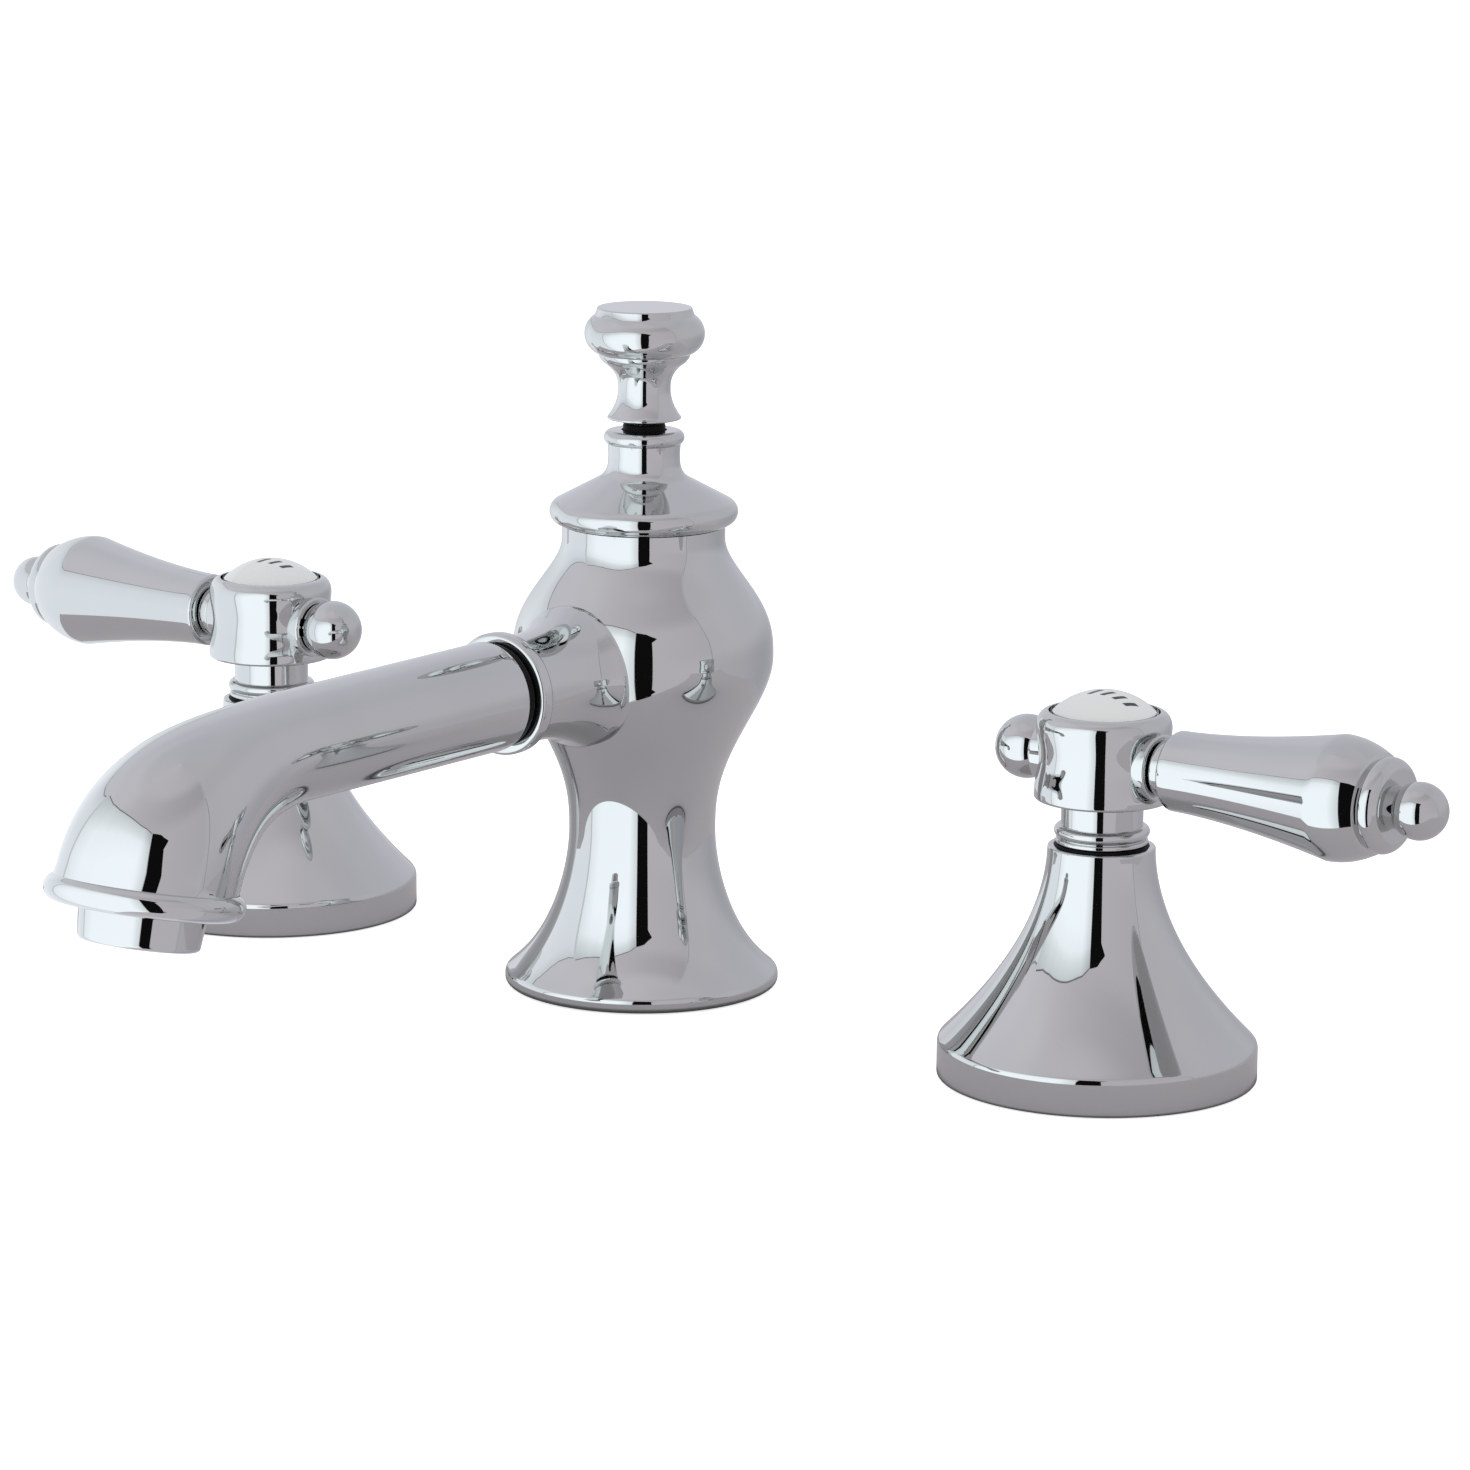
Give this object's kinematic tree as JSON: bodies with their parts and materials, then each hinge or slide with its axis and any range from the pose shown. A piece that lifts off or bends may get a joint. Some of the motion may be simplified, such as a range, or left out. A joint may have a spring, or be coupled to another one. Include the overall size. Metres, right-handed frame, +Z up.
{
  "type": "widespread bathroom faucet",
  "caption": "Widespread bathroom faucet in chrome: a vase-shaped spout body with a lift rod, and a quarter-turn lever valve on a bell-shaped base at each side.",
  "frame": {"origin": "centre of the spout body's foot, on the top of the deck", "axes": "+Z up, +X toward the cold valve, the spout reaches along -Y"},
  "size_m": [0.3456, 0.1838, 0.2263],
  "materials": {
    "chrome": "polished",
    "porcelain": "glazed",
    "black_seal": "satin",
    "brass": "machined",
    "steel": "satin",
    "ceramic": "lapped",
    "white_plastic": "satin"
  },
  "bodies": {
    "faucet": {"spout_body": "chrome", "body_lid": "chrome", "rod_bush": "black_seal", "spout_collar": "chrome", "spout_seal_ring": "black_seal", "spout_tube": "chrome", "aerator_housing": "chrome", "aerator_insert": "white_plastic", "aerator_washer": "black_seal", "foot_gasket": "black_seal", "spout_shank": "brass", "riser_pipe": "brass", "inlet_tee": "brass", "spout_rubber_washer": "black_seal", "spout_metal_washer": "steel", "spout_mounting_nut": "brass", "hot_valve_body": "brass", "hot_locknut": "brass", "hot_rubber_washer": "black_seal", "hot_metal_washer": "steel", "hot_mounting_nut": "brass", "hot_seat_seal": "black_seal", "hot_fixed_disc": "ceramic", "hot_cartridge": "brass", "hot_bonnet_nut": "brass", "hot_escutcheon": "chrome", "hot_glide_ring": "black_seal", "cold_valve_body": "brass", "cold_locknut": "brass", "cold_rubber_washer": "black_seal", "cold_metal_washer": "steel", "cold_mounting_nut": "brass", "cold_seat_seal": "black_seal", "cold_fixed_disc": "ceramic", "cold_cartridge": "brass", "cold_bonnet_nut": "brass", "cold_escutcheon": "chrome", "cold_glide_ring": "black_seal"},
    "hot_handle": {"hot_moving_disc": "ceramic", "hot_stem": "brass", "hot_handle_collar": "chrome", "hot_hub": "chrome", "hot_handle_screw": "steel", "hot_index_button": "porcelain", "hot_lever_ferrule": "chrome", "hot_lever": "chrome", "hot_ball_finial": "chrome"},
    "cold_handle": {"cold_moving_disc": "ceramic", "cold_stem": "brass", "cold_handle_collar": "chrome", "cold_hub": "chrome", "cold_handle_screw": "steel", "cold_index_button": "porcelain", "cold_lever_ferrule": "chrome", "cold_lever": "chrome", "cold_ball_finial": "chrome"},
    "pop_up_rod": {"lift_rod": "chrome", "lift_knob": "chrome"}
  },
  "joints": [
    {"name": "hot_turn", "type": "hinge", "parent": "faucet", "child": "hot_handle", "pos_m": [-0.0966, 0, 0.059], "axis": [0, 0, 1], "range_deg": [0, 90]},
    {"name": "cold_turn", "type": "hinge", "parent": "faucet", "child": "cold_handle", "pos_m": [0.1066, 0, 0.059], "axis": [0, 0, 1], "range_deg": [-90, 0]},
    {"name": "rod_lift", "type": "slide", "parent": "faucet", "child": "pop_up_rod", "axis": [0, 0, 1], "range_m": [0, 0.022]}
  ]
}
